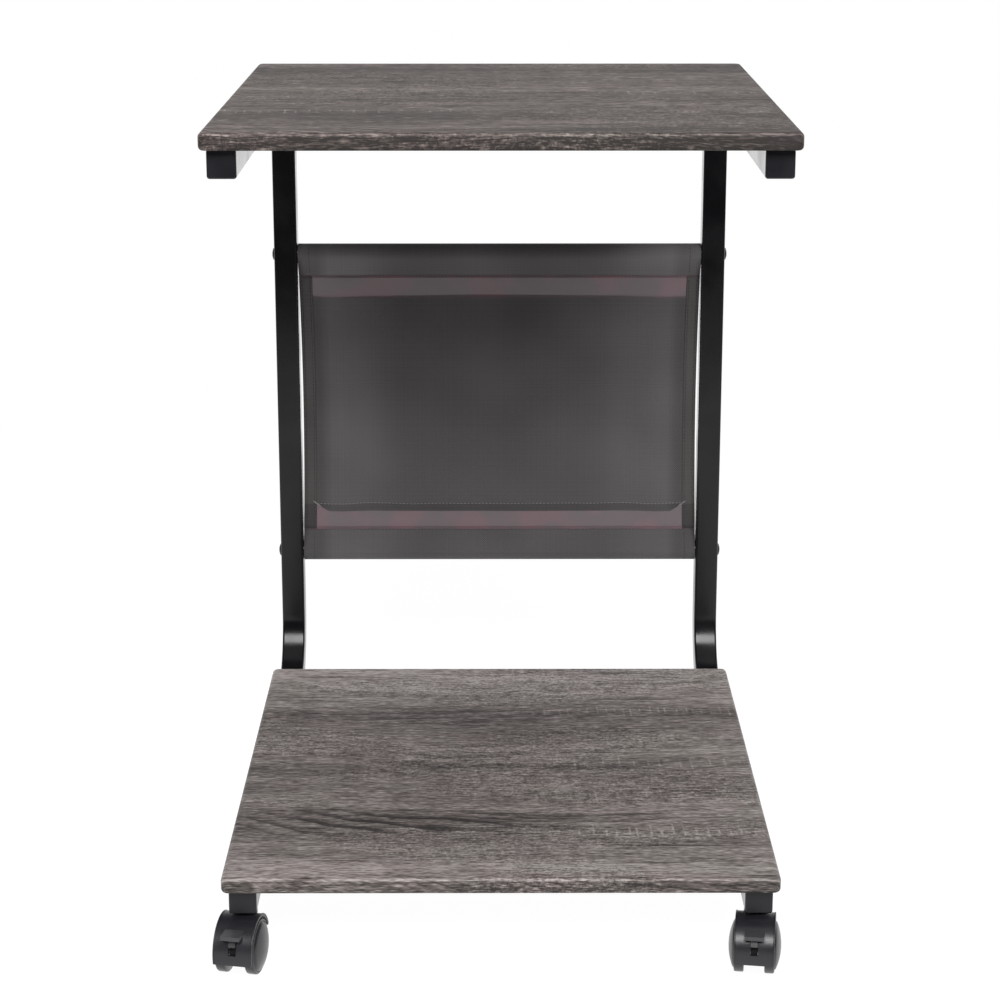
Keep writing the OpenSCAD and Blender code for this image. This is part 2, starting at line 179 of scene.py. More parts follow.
def new_group(name, inputs, outputs):
    """A node group with named sockets. Returns the group, its inside source and its output."""
    group = bpy.data.node_groups.new(name, "ShaderNodeTree")
    for label, kind, default in inputs:
        socket = group.interface.new_socket(label, in_out="INPUT", socket_type=kind)
        if default is not None:
            socket.default_value = default
    for label, kind in outputs:
        group.interface.new_socket(label, in_out="OUTPUT", socket_type=kind)
    source = group.nodes.new("NodeGroupInput")
    result = group.nodes.new("NodeGroupOutput")
    return group, source.outputs, result.inputs


def place_group(tree, group, inputs):
    return node_in(tree, "ShaderNodeGroup", inputs, node_tree=group).outputs


def mixed(tree, factor, first, second, **settings):
    """Two colours in one. Each is a socket, or its red, green and blue."""
    first, second = (colour if isinstance(colour, bpy.types.NodeSocket) else (*colour, 1)
                     for colour in (first, second))
    return node_in(tree, "ShaderNodeMix", {"Factor": factor, 6: first, 7: second},
                   data_type="RGBA", **settings).outputs[2]


def relief_of(tree, height, strength, depth=0.0002):
    """The surface normal that a height gives."""
    return node_in(tree, "ShaderNodeBump", {
        "Height": height, "Strength": strength, "Distance": depth}).outputs["Normal"]


def coat(tree, surface, inputs):
    shader = node_in(tree, "ShaderNodeBsdfPrincipled", inputs)
    tree.links.new(shader.outputs["BSDF"], surface)


# Streaks: noise stretched along X, with so many per metre along and across
streaks, source, result = new_group(
    "streaks",
    [("Place", "NodeSocketVector", None), ("Along", "NodeSocketFloat", 20.0),
     ("Across", "NodeSocketFloat", 300.0), ("Detail", "NodeSocketFloat", 3.0),
     ("Start", "NodeSocketFloat", 0.0)],
    [("Amount", "NodeSocketFloat")])
stretch = node_in(streaks, "ShaderNodeCombineXYZ", {
    "X": source["Along"], "Y": source["Across"], "Z": 1.0}).outputs[0]
stretched = node_in(streaks, "ShaderNodeVectorMath", {0: source["Place"], 1: stretch},
                    operation="MULTIPLY").outputs[0]
start = node_in(streaks, "ShaderNodeCombineXYZ", {
    "X": source["Start"], "Y": source["Start"], "Z": 0.0}).outputs[0]
moved = node_in(streaks, "ShaderNodeVectorMath", {0: stretched, 1: start},
                operation="ADD").outputs[0]
streak_noise = node_in(streaks, "ShaderNodeTexNoise", {
    "Vector": moved, "Scale": 1.0, "Detail": source["Detail"], "Roughness": 0.55},
    noise_dimensions="2D")
streaks.links.new(streak_noise.outputs[0], result["Amount"])


def oak_film(name, start, shade, cast, front_edge, flames, saw_bands, front_edge_painted_shade):
    """The printed oak film of one board. Flames are bands of dark growth lines, and a flame
    with a negative depth is a lighter band of painted reflection. Saw_bands are rows of pale
    cross cuts. Both go by their distance from the front and reach, then flames by middle,
    spread, gap, slope and depth, and cuts by side, pitch and depth."""
    material, tree, surface = new_material(name)
    film = node_in(tree, "ShaderNodeUVMap", uv_map="film").outputs["UV"]
    parts = node_in(tree, "ShaderNodeSeparateXYZ", {"Vector": film}).outputs
    along, back = parts["X"], minus(tree, parts["Y"], front_edge)

    def streak(place, along_rate, across_rate, detail, offset=0.0):
        return place_group(tree, streaks, {
            "Place": place, "Along": along_rate, "Across": across_rate, "Detail": detail,
            "Start": start + offset})["Amount"]

    # The grain wanders a little from side to side
    wander = times(tree, minus(tree, streak(film, 3.0, 7.0, 1.0), 0.5), 0.016)
    ripple = times(tree, minus(tree, streak(film, 16.0, 40.0, 2.0, 7.0), 0.5), 0.0022)
    across = plus(tree, parts["Y"], plus(tree, wander, ripple))
    grain = node_in(tree, "ShaderNodeCombineXYZ", {"X": along, "Y": across}).outputs[0]

    tone = shade
    for along_rate, across_rate, detail, weight in (
            (1.3, 11.0, 2.0, 0.85), (6.0, 62.0, 3.0, 0.42),
            (42.0, 420.0, 3.0, 1.05), (150.0, 1050.0, 1.0, 1.0)):
        layer = streak(grain, along_rate, across_rate, detail, along_rate)
        tone = plus(tree, tone, times(tree, minus(tree, layer, 0.5), weight))

    # Crumbly figure between the streaks, in patches
    crumb = node_in(tree, "ShaderNodeTexNoise", {
        "Vector": grain, "Scale": 380.0, "Detail": 2.0, "Distortion": 0.6},
        noise_dimensions="2D").outputs[0]
    crumb_patch = fade(tree, streak(film, 4.0, 13.0, 1.0, 31.0), 0.46, 0.60)
    crumbs = times(tree, minus(tree, crumb, 0.53), crumb_patch)
    tone = plus(tree, tone, times(tree, crumbs, 0.95))

    # Short dark pores, and long dark checks
    pores = fade(tree, streak(grain, 75.0, 850.0, 1.0, 3.0), 0.60, 0.72)
    tone = minus(tree, tone, times(tree, pores, 0.20))
    checks = fade(tree, streak(grain, 8.0, 170.0, 2.0, 11.0), 0.65, 0.74)
    tone = minus(tree, tone, times(tree, checks, 0.28))

    # Growth lines that cross a band at a low slope, each crisp in front and fading behind
    sway = times(tree, minus(tree, streak(film, 8.0, 12.0, 2.0, 19.0), 0.5), 2.0)
    for distance, reach, middle, spread, gap, slope, depth in flames:
        rise = times(tree, along, minus(tree, slope, along))
        steps = value_of(tree, "DIVIDE", plus(tree, back, rise), gap)
        share = value_of(tree, "FRACT", plus(tree, steps, sway))
        line = times(tree, fade(tree, share, 0.0, 0.62, 1.0, 0.0),
                     fade(tree, share, 0.0, 0.05))
        offset = value_of(tree, "DIVIDE", minus(tree, back, distance), reach)
        aside = value_of(tree, "DIVIDE", minus(tree, along, middle), spread)
        away = plus(tree, times(tree, offset, offset), times(tree, aside, aside))
        near = value_of(tree, "EXPONENT", times(tree, away, -1.0))
        line = plus(tree, times(tree, line, 0.8), 0.2)
        tone = minus(tree, tone, times(tree, line, near, depth))

    # Pale saw marks across the grain: one per step, unequal in place, length and strength
    slant = plus(tree, along, times(tree, back, 0.04))
    for distance, reach, side, pitch, depth in saw_bands:
        steps = value_of(tree, "DIVIDE", slant, pitch)
        chance = node_in(tree, "ShaderNodeTexWhiteNoise", {
            "W": plus(tree, value_of(tree, "FLOOR", steps), distance)},
            noise_dimensions="1D").outputs["Color"]
        chances = node_in(tree, "ShaderNodeSeparateXYZ", {"Vector": chance}).outputs
        share = value_of(tree, "FRACT", steps)
        seat = plus(tree, times(tree, chances["X"], 0.5), 0.25)
        mark = fade(tree, value_of(tree, "ABSOLUTE", minus(tree, share, seat)),
                    0.0011 / pitch, 0.0003 / pitch)
        length = times(tree, plus(tree, times(tree, chances["Y"], 0.8), 0.2), reach)
        lift = times(tree, minus(tree, chances["Z"], 0.5), reach)
        stray = value_of(tree, "ABSOLUTE", minus(tree, minus(tree, back, distance), lift))
        near = fade(tree, minus(tree, stray, length), 0.002, -0.002)
        sided = fade(tree, times(tree, along, side), -0.03, 0.09)
        worn = fade(tree, streak(film, 80.0, 120.0, 1.0, 57.0), 0.35, 0.60, 0.35, 1.0)
        shown = times(tree, near, sided, worn)
        tone = plus(tree, tone, times(tree, mark, shown, depth))

    # Painted highlight: a pale line along the front rim; painted shade: the front edge below it
    # is darker
    rim = fade(tree, value_of(tree, "ABSOLUTE", plus(tree, back, 0.0002)), 0.0022, 0.0004)
    tone = plus(tree, tone, times(tree, rim, 0.20))
    painted_edge_shade = fade(tree, back, 0.0005, -0.0030)
    tone = minus(tree, tone, times(tree, painted_edge_shade, front_edge_painted_shade))

    ramp = node_in(tree, "ShaderNodeValToRGB", {"Fac": tone})
    stops = ((0.0, (0.025, 0.021, 0.020)), (0.30, (0.082, 0.069, 0.066)),
             (0.52, (0.162, 0.139, 0.132)), (0.75, (0.268, 0.238, 0.229)),
             (1.0, (0.43, 0.395, 0.380)))
    ramp_ends = ramp.color_ramp.elements[:]
    for number, (place, colour) in enumerate(stops):
        if number < len(ramp_ends):
            stop = ramp_ends[number]
            stop.position = place
        else:
            stop = ramp.color_ramp.elements.new(place)
        stop.color = (*colour, 1)
    tint = fade(tree, streak(film, 9.0, 18.0, 1.0, 71.0), 0.40, 0.60)
    greenish = [a * b for a, b in zip((0.985, 1.0, 0.98), cast)]
    purplish = [a * b for a, b in zip((1.015, 0.992, 0.998), cast)]
    tinted = mixed(tree, tint, greenish, purplish)
    colour = mixed(tree, 1.0, ramp.outputs["Color"], tinted, blend_type="MULTIPLY")
    coat(tree, surface, {
        "Base Color": colour, "Roughness": fade(tree, tone, 0.2, 0.9, 0.64, 0.50),
        "Normal": relief_of(tree, tone, 0.35, 0.0004), "Specular IOR Level": 0.34})
    return material


def add_piece(name, bm, material, body, replaced=()):
    """Turns a bmesh into a piece that rides on a body."""
    mesh = bpy.data.meshes.new(name)
    bm.to_mesh(mesh)
    bm.free()
    for polygon in mesh.polygons:
        polygon.use_smooth = True
    mesh.materials.append(material)
    piece = bpy.data.objects.new(name, mesh)
    scene.collection.objects.link(piece)
    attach(piece, body)
    if replaced:
        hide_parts(*replaced)
    return piece


def split_edges(piece, angle):
    piece.modifiers.new("edges", "EDGE_SPLIT").split_angle = math.radians(angle)


def even_shading(piece):
    """Keeps flat faces flat between smooth rounded edges."""
    piece.modifiers.new("weighted_normal", "WEIGHTED_NORMAL").weight = 60


board_corner = 0.005
board_rim = 0.003


def rounded_block(low, high, corner, rim):
    """A box between two corners, with its upright edges and then its rims rounded."""
    bm = bmesh.new()
    bmesh.ops.create_cube(bm, size=1)
    size = high - low
    bmesh.ops.scale(bm, vec=size, verts=bm.verts)
    bmesh.ops.translate(bm, vec=(low + high) / 2, verts=bm.verts)
    upright = [e for e in bm.edges if abs(e.verts[0].co.z - e.verts[1].co.z) > size.z / 2]
    bmesh.ops.bevel(bm, geom=upright, offset=corner, affect="EDGES", segments=5,
                    profile=0.5, material=-1)
    rims = [e for e in bm.edges if abs(e.verts[0].co.z - e.verts[1].co.z) < 1e-6]
    bmesh.ops.bevel(bm, geom=rims, offset=rim, affect="EDGES", segments=4,
                    profile=0.5, material=-1)
    return bm


def wrap_film(bm, low, high):
    """The film's own map, in metres: flat on top and folded down over every edge."""
    film = bm.loops.layers.uv.new("film")
    middle = (low + high) / 2
    for face in bm.faces:
        for loop in face.loops:
            place = loop.vert.co
            drop = high.z - place.z
            side = place - middle
            over_x = abs(side.x) > (high.x - low.x) / 2 - board_rim - 1e-5
            over_y = abs(side.y) > (high.y - low.y) / 2 - board_rim - 1e-5
            loop[film].uv = (place.x + math.copysign(drop, side.x) * over_x,
                             place.y + math.copysign(drop, side.y) * over_y)


board_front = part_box("top_board")[0].y
# The two films differ in base tone: the top board's is painted darker and the bottom board's
# lighter, as painted shade and painted light for how each board is lit
board_looks = {
    "top_board": oak_film("oak_film_top", 4.0, 0.40, (1.0, 0.945, 0.915), board_front, [
        (0.014, 0.016, -0.02, 0.30, 0.010, 0.20, 0.42),
        (0.170, 0.022, 0.06, 0.16, 0.012, -0.16, 0.30)], [
        (0.115, 0.009, -1, 0.0085, 0.34), (0.225, 0.008, 1, 0.010, 0.24)], 0.26),
    "bottom_board": oak_film("oak_film_bottom", 12.5, 0.61, (1.0, 0.99, 0.985), board_front, [
        (0.098, 0.019, -0.085, 0.110, 0.0150, 0.12, 0.90),
        (0.108, 0.012, 0.06, 0.12, 0.010, 0.10, 0.50),
        (0.225, 0.038, 0.02, 0.17, 0.025, 0.05, 0.32),
        # Painted reflection: with its negative depth this band near the rear is painted lighter,
        # with lines
        (0.410, 0.070, 0.00, 0.60, 0.030, 0.05, -0.22),
        (0.318, 0.020, -0.05, 0.15, 0.012, -0.14, 0.34),
        (-0.004, 0.010, 0.05, 0.30, 0.006, 0.35, 0.30)], [
        (0.082, 0.010, 1, 0.0085, 0.32), (0.325, 0.010, 1, 0.0075, 0.26),
        (0.215, 0.013, 1, 0.012, 0.24), (0.150, 0.014, 1, 0.014, 0.20)], 0.20),
}
for name, oak in board_looks.items():
    low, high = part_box(name)
    bm = rounded_block(low, high, board_corner, board_rim)
    wrap_film(bm, low, high)
    board = add_piece(f"{name}_wrapped", bm, oak, "stand", [name])
    even_shading(board)


# ---------------------------------------------------------------------------
# The two side frames: each one length of 20 mm square steel tube, bent twice
# and finished in black powder paint.
# ---------------------------------------------------------------------------
# Grain: fine lumps in a moulded or sprayed skin, with a cloudy change of gloss
grained_skin, source, result = new_group(
    "grained_skin",
    [("Place", "NodeSocketVector", None), ("Grain", "NodeSocketFloat", 1200.0),
     ("Cloud", "NodeSocketFloat", 14.0)],
    [("Height", "NodeSocketFloat"), ("Cloudiness", "NodeSocketFloat")])
lumps = node_in(grained_skin, "ShaderNodeTexNoise", {
    "Vector": source["Place"], "Scale": source["Grain"], "Detail": 2.0})
clouds = node_in(grained_skin, "ShaderNodeTexNoise", {
    "Vector": source["Place"], "Scale": source["Cloud"], "Detail": 3.0})
grained_skin.links.new(lumps.outputs[0], result["Height"])
grained_skin.links.new(clouds.outputs[0], result["Cloudiness"])


def skin_of(tree, grain):
    """The place on an object, and its skin's height and cloudiness there."""
    place = node_in(tree, "ShaderNodeTexCoord").outputs["Object"]
    return place, place_group(tree, grained_skin, {
        "Place": place, "Grain": grain, "Cloud": 22.0})


def skin_material(name, dark, light, shiny, matt, grain, relief, metallic=0.0, gleam=0.5):
    """A painted, moulded or plated skin: two close colours, two finishes and a fine relief."""
    material, tree, surface = new_material(name)
    skin = skin_of(tree, grain)[1]
    mottle = fade(tree, skin["Cloudiness"], 0.35, 0.65)
    coat(tree, surface, {
        "Base Color": mixed(tree, mottle, dark, light),
        "Roughness": fade(tree, mottle, 0.0, 1.0, shiny, matt),
        "Normal": relief_of(tree, skin["Height"], relief),
        "Metallic": metallic, "Specular IOR Level": gleam})
    return material


tube_paint = skin_material("black_powder_paint", (0.0032, 0.0030, 0.0040),
                           (0.0048, 0.0045, 0.0059), 0.17, 0.24, 900.0, 0.10, gleam=0.36)
tube_wall = 0.0012
tube_corner = 0.002
cap_thickness = 0.0025
frame_low, frame_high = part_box("left_side_frame")
tube = frame_high.x - frame_low.x
bend_r = 0.055
bend_steps = 22
bend_y = frame_high.y - tube / 2 - bend_r
low_rail = frame_low.z + tube / 2
high_rail = frame_high.z - tube / 2
rail_start = frame_low.y


def tube_outline(width, corner):
    """A square outline with round corners, standing in the X-Z plane at the origin."""
    bm = bmesh.new()
    bmesh.ops.create_grid(bm, x_segments=1, y_segments=1, size=width / 2)
    bmesh.ops.rotate(bm, cent=(0, 0, 0), matrix=Matrix.Rotation(math.radians(90), 3, "X"),
                     verts=bm.verts)
    bmesh.ops.bevel(bm, geom=bm.verts[:], offset=corner, affect="VERTICES", segments=4,
                    profile=0.5, material=-1)
    return bm


def verts_of(geom):
    return [v for v in geom if isinstance(v, bmesh.types.BMVert)]


def edges_of(geom):
    return [e for e in geom if isinstance(e, bmesh.types.BMEdge)]


def move_out(bm, edges, step):
    """Extrudes open edges by a step and returns the new ones."""
    grown = bmesh.ops.extrude_edge_only(bm, edges=edges)["geom"]
    bmesh.ops.translate(bm, vec=step, verts=verts_of(grown))
    return edges_of(grown)


def turn_out(bm, edges, centre, angle, steps):
    """Spins open edges about an X axis through centre and returns the new ones."""
    ends = list({v for e in edges for v in e.verts})
    last = bmesh.ops.spin(bm, geom=edges + ends, cent=centre, axis=(1, 0, 0), dvec=(0, 0, 0),
                          angle=angle, steps=steps, use_merge=False,
                          use_duplicate=False)["geom_last"]
    return edges_of(last)


for side, x in (("left", frame_low.x + tube / 2), ("right", -frame_low.x - tube / 2)):
    bm = tube_outline(tube, tube_corner)
    bmesh.ops.delete(bm, geom=bm.faces[:], context="FACES_ONLY")
    bmesh.ops.translate(bm, vec=(x, rail_start, low_rail), verts=bm.verts)
    edges = move_out(bm, bm.edges[:], (0, bend_y - rail_start, 0))
    edges = turn_out(bm, edges, (x, bend_y, low_rail + bend_r), math.radians(90), bend_steps)
    edges = move_out(bm, edges, (0, 0, high_rail - low_rail - 2 * bend_r))
    edges = turn_out(bm, edges, (x, bend_y, high_rail - bend_r), math.radians(90), bend_steps)
    move_out(bm, edges, (0, rail_start - bend_y, 0))
    bmesh.ops.recalc_face_normals(bm, faces=bm.faces)
    tube_piece = add_piece(f"{side}_bent_tube", bm, tube_paint, "stand",
                           [f"{side}_side_frame"])
    wall = tube_piece.modifiers.new("wall", "SOLIDIFY")
    wall.thickness = tube_wall
    wall.offset = -1
    even_shading(tube_piece)


# ---------------------------------------------------------------------------
# Four end caps: moulded black plugs with a bevelled rim and a hollow spigot,
# pushed into the open front ends of the tubes.
# ---------------------------------------------------------------------------
cap_plastic = skin_material("cap_plastic", (0.009, 0.0085, 0.011), (0.013, 0.0122, 0.0155),
                            0.30, 0.38, 1500.0, 0.25, gleam=0.36)
cap_bevel = 0.0012
spigot_inset = tube_wall + 0.0001
spigot_wall = 0.002

for name in ("top_left_end_cap", "top_right_end_cap", "bottom_left_end_cap",
             "bottom_right_end_cap"):
    low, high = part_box(name)
    centre = (low + high) / 2
    bm = tube_outline(tube, tube_corner)
    bmesh.ops.translate(bm, vec=(centre.x, low.y + cap_thickness, centre.z), verts=bm.verts)
    back = bm.faces[:]
    front = bmesh.ops.extrude_face_region(bm, geom=back, use_keep_orig=True)["geom"]
    bmesh.ops.translate(bm, vec=(0, -cap_thickness, 0), verts=verts_of(front))
    bmesh.ops.recalc_face_normals(bm, faces=bm.faces)
    front_face = min(bm.faces, key=lambda f: f.calc_center_median().y)
    back_face = max(bm.faces, key=lambda f: f.calc_center_median().y)
    bmesh.ops.bevel(bm, geom=front_face.edges[:], offset=cap_bevel, affect="EDGES", segments=3,
                    profile=0.5, material=-1)
    bmesh.ops.inset_individual(bm, faces=[back_face], thickness=spigot_inset)
    spigot = bmesh.ops.extrude_face_region(bm, geom=[back_face])["geom"]
    spigot_length = high.y - low.y - cap_thickness
    bmesh.ops.translate(bm, vec=(0, spigot_length, 0), verts=verts_of(spigot))
    if back_face.is_valid:
        bm.faces.remove(back_face)
    end = max(bm.faces, key=lambda f: f.calc_center_median().y)
    bmesh.ops.inset_individual(bm, faces=[end], thickness=spigot_wall)
    bmesh.ops.translate(bm, vec=(0, -spigot_length, 0), verts=end.verts)
    bmesh.ops.recalc_face_normals(bm, faces=bm.faces)
    cap = add_piece(f"{name}_moulded", bm, cap_plastic, "stand", [name])
    even_shading(cap)


# ---------------------------------------------------------------------------
# Button-head socket bolts in black oxide: four through the uprights into the
# crossbars, and eight up through the rails into the boards.
# ---------------------------------------------------------------------------
black_oxide = skin_material("black_oxide", (0.020, 0.020, 0.022), (0.035, 0.034, 0.036),
                            0.30, 0.45, 2500.0, 0.20, metallic=0.85)
head_r = 0.0055
head_h = 0.0022
head_lip = 0.0006
shank_r = 0.003
shank_chamfer = 0.0006
socket_r = 0.0021
socket_depth = 0.0013
bolt_sides = 24


def button_bolt(seat, direction, shank):
    """One bolt whose head's seat is at a point and whose shank runs along a direction."""
    bm = bmesh.new()
    bmesh.ops.create_circle(bm, cap_ends=False, radius=head_r, segments=bolt_sides)
    edges = bm.edges[:]
    rings = [(1.0, -head_lip)] + [
        (math.cos(math.radians(a)), -head_lip - (head_h - head_lip) * math.sin(math.radians(a)))
        for a in (20, 40, 58)]
    for share, height in rings:
        edges = grow_ring(bm, edges, head_r * share, height)
    edges = grow_ring(bm, edges, socket_r, -head_h, six_sided=True)
    edges = grow_ring(bm, edges, socket_r, -head_h + socket_depth, six_sided=True)
    bmesh.ops.edgeloop_fill(bm, edges=edges)
    edges = [e for e in bm.edges if e.is_boundary]
    for radius, height in ((shank_r, 0), (shank_r, shank - shank_chamfer),
                           (shank_r - shank_chamfer, shank)):
        edges = grow_ring(bm, edges, radius, height)
    bmesh.ops.edgeloop_fill(bm, edges=edges)
    bmesh.ops.recalc_face_normals(bm, faces=bm.faces)
    turn = Vector(direction).to_track_quat("Z", "Y").to_matrix().to_4x4()
    bmesh.ops.transform(bm, matrix=Matrix.Translation(seat) @ turn, verts=bm.verts)
    return bm


def grow_ring(bm, edges, radius, height, six_sided=False):
    """Extrudes a ring about the Z axis to another radius and height."""
    grown = bmesh.ops.extrude_edge_only(bm, edges=edges)["geom"]
    for vert in verts_of(grown):
        angle = math.atan2(vert.co.y, vert.co.x)
        reach = radius
        if six_sided:
            sixth = math.radians(60)
            reach = radius / math.cos(angle % sixth - sixth / 2)
        vert.co = (reach * math.cos(angle), reach * math.sin(angle), height)
    return edges_of(grown)


def joined(parts):
    """Several bmeshes as one."""
    whole = bmesh.new()
    for part in parts:
        mesh = bpy.data.meshes.new("part")
        part.to_mesh(mesh)
        part.free()
        whole.from_mesh(mesh)
        bpy.data.meshes.remove(mesh)
    return whole


bar_low, bar_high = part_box("lower_crossbar")
lower_bar = (bar_low + bar_high) / 2
upper_bar = sum(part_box("upper_crossbar"), Vector()) / 2
bolt_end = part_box("crossbar_bolts")[1].x
plug_grip = 0.015
cross_shank = tube + plug_grip
bolts = [button_bolt((side * (bolt_end - head_h), bar.y, bar.z), (-side, 0, 0), cross_shank)
         for side in (-1, 1) for bar in (lower_bar, upper_bar)]
bolt_piece = add_piece("crossbar_button_bolts", joined(bolts), black_oxide, "stand",
                       ["crossbar_bolts"])
split_edges(bolt_piece, 40)

for name in ("top_board_bolts", "bottom_board_bolts"):
    low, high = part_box(name)
    rows = (low.y + head_r, high.y - head_r)
    columns = (low.x + head_r, high.x - head_r)
    bolts = [button_bolt((x, y, low.z + head_h), (0, 0, 1), high.z - low.z - head_h)
             for x in columns for y in rows]
    piece = add_piece(f"{name}_button", joined(bolts), black_oxide, "stand", [name])
    split_edges(piece, 40)


# ---------------------------------------------------------------------------
# Two crossbars of round tube, painted like the frames, with threaded zinc plugs.
# The board inserts and the caster sockets and stems are zinc plated too.
# ---------------------------------------------------------------------------
zinc = skin_material("zinc_plate", (0.42, 0.42, 0.43), (0.55, 0.55, 0.54), 0.26, 0.42, 1800.0,
                     0.12, metallic=1.0)


def repaint(name, material):
    """Gives a node of the frame a finish of its own."""
    node = frame["nodes"][name]
    node.data.materials.clear()
    node.data.materials.append(material)


for name in ("upper_crossbar", "lower_crossbar"):
    repaint(name, tube_paint)
for name in ("crossbar_end_plugs", "board_inserts", "caster_sockets"):
    repaint(name, zinc)


# ---------------------------------------------------------------------------
# The sling: one polyester cloth folded round both crossbars and sewn to itself
# below the upper bar and above the lower one, and drawn tight between them.
# ---------------------------------------------------------------------------
cloth_t = 0.0007
hem_low, hem_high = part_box("sling_side_hems")
sling_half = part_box("sling_panel")[1].x
hem_inner = sling_half - 0.011
panel_y = upper_bar.y
upper_stitch = hem_high.z + 0.001
lower_stitch = hem_low.z - 0.001
bar_r = (bar_high.z - bar_low.z) / 2
wrap_r = bar_r + 0.0003 + cloth_t / 2
tuck = 0.0025
leave = math.radians(20)

# Half of the cloth's way, from the middle of the panel up, round the upper bar and down
# behind itself to the cut edge. The lower half is its mirror.
climb = Vector((wrap_r * math.cos(leave), upper_bar.z - wrap_r * math.sin(leave)))
panel_mid = (upper_stitch + lower_stitch) / 2
panel_rise = upper_stitch - panel_mid
side_run = math.hypot(climb.x, climb.y - upper_stitch)
wrap_run = wrap_r * (math.pi + 2 * leave)
half_length = panel_rise + 2 * side_run + wrap_run + tuck


def cloth_way(run):
    """Offset from the bars' plane and height, a given length of cloth up from the middle."""
    if run < panel_rise:
        return 0.0, panel_mid + run
    run -= panel_rise
    if run < side_run:
        share = run / side_run
        return -climb.x * share, upper_stitch + (climb.y - upper_stitch) * share
    run -= side_run
    if run < wrap_run:
        angle = math.pi + leave - run / wrap_r
        return wrap_r * math.cos(angle), upper_bar.z + wrap_r * math.sin(angle)
    run -= wrap_run
    if run < side_run:
        share = run / side_run
        return (climb.x + (cloth_t * 1.2 - climb.x) * share,
                climb.y + (upper_stitch - climb.y) * share)
    return cloth_t * 1.2, upper_stitch - (run - side_run)


def panel_share(z):
    """0 at the two stitch lines and 1 half-way between them."""
    share = (z - lower_stitch) / (upper_stitch - lower_stitch)
    return math.sin(math.pi * min(1, max(0, share)))


def settle(place):
    """How the drawn cloth gives: its sides pull in, and it stands in soft upright folds."""
    share = panel_share(place.z)
    across = place.x / sling_half
    pull = 0.0017 * share * abs(across) ** 3
    from_hem = hem_inner - abs(place.x)
    side = math.copysign(1, place.x)
    fold = 0.0034 * math.exp(-((from_hem - 0.024) / 0.014) ** 2)
    fold -= 0.0026 * math.exp(-((from_hem - 0.052 - 0.004 * side) / 0.016) ** 2)
    fold += 0.0026 * noise.noise(Vector((place.x * 16, place.z * 3.2, 4.1)))
    fold += 0.0006 * noise.noise(Vector((place.x * 55, place.z * 9.0, 9.4)))
    return Vector((place.x - side * pull, place.y - fold * share ** 0.6, place.z))


def flat_cloth(width, length, across, along):
    """A cloth that still lies flat, with its own map in metres."""
    bm = bmesh.new()
    bmesh.ops.create_grid(bm, x_segments=across, y_segments=along, size=0.5)
    bmesh.ops.scale(bm, vec=(width, length, 1), verts=bm.verts)
    layer = bm.loops.layers.uv.new("cloth")
    for face in bm.faces:
        for loop in face.loops:
            loop[layer].uv = loop.vert.co.xy
    return bm


# Weave: warp over weft, with threads of slightly different shades
weave, source, result = new_group(
    "plain_weave",
    [("Place", "NodeSocketVector", None), ("Threads", "NodeSocketFloat", 900.0)],
    [("Height", "NodeSocketFloat"), ("Shade", "NodeSocketFloat")])
threads = node_in(weave, "ShaderNodeVectorMath", {
    0: source["Place"], "Scale": source["Threads"]}, operation="SCALE").outputs[0]
thread_parts = node_in(weave, "ShaderNodeSeparateXYZ", {"Vector": threads}).outputs
warp_wave = value_of(weave, "SINE", times(weave, thread_parts["X"], math.pi))
weft_wave = value_of(weave, "SINE", times(weave, thread_parts["Y"], math.pi))
over = times(weave, warp_wave, weft_wave)
weave.links.new(plus(weave, times(weave, over, 0.5), 0.5), result["Height"])
warp_shade, weft_shade = (node_in(weave, "ShaderNodeTexNoise", {
    "W": times(weave, thread_parts[axis], 0.8), "Scale": 1.0, "Detail": 2.0},
    noise_dimensions="1D").outputs[0] for axis in "XY")
weave.links.new(times(weave, plus(weave, warp_shade, weft_shade), 0.5), result["Shade"])


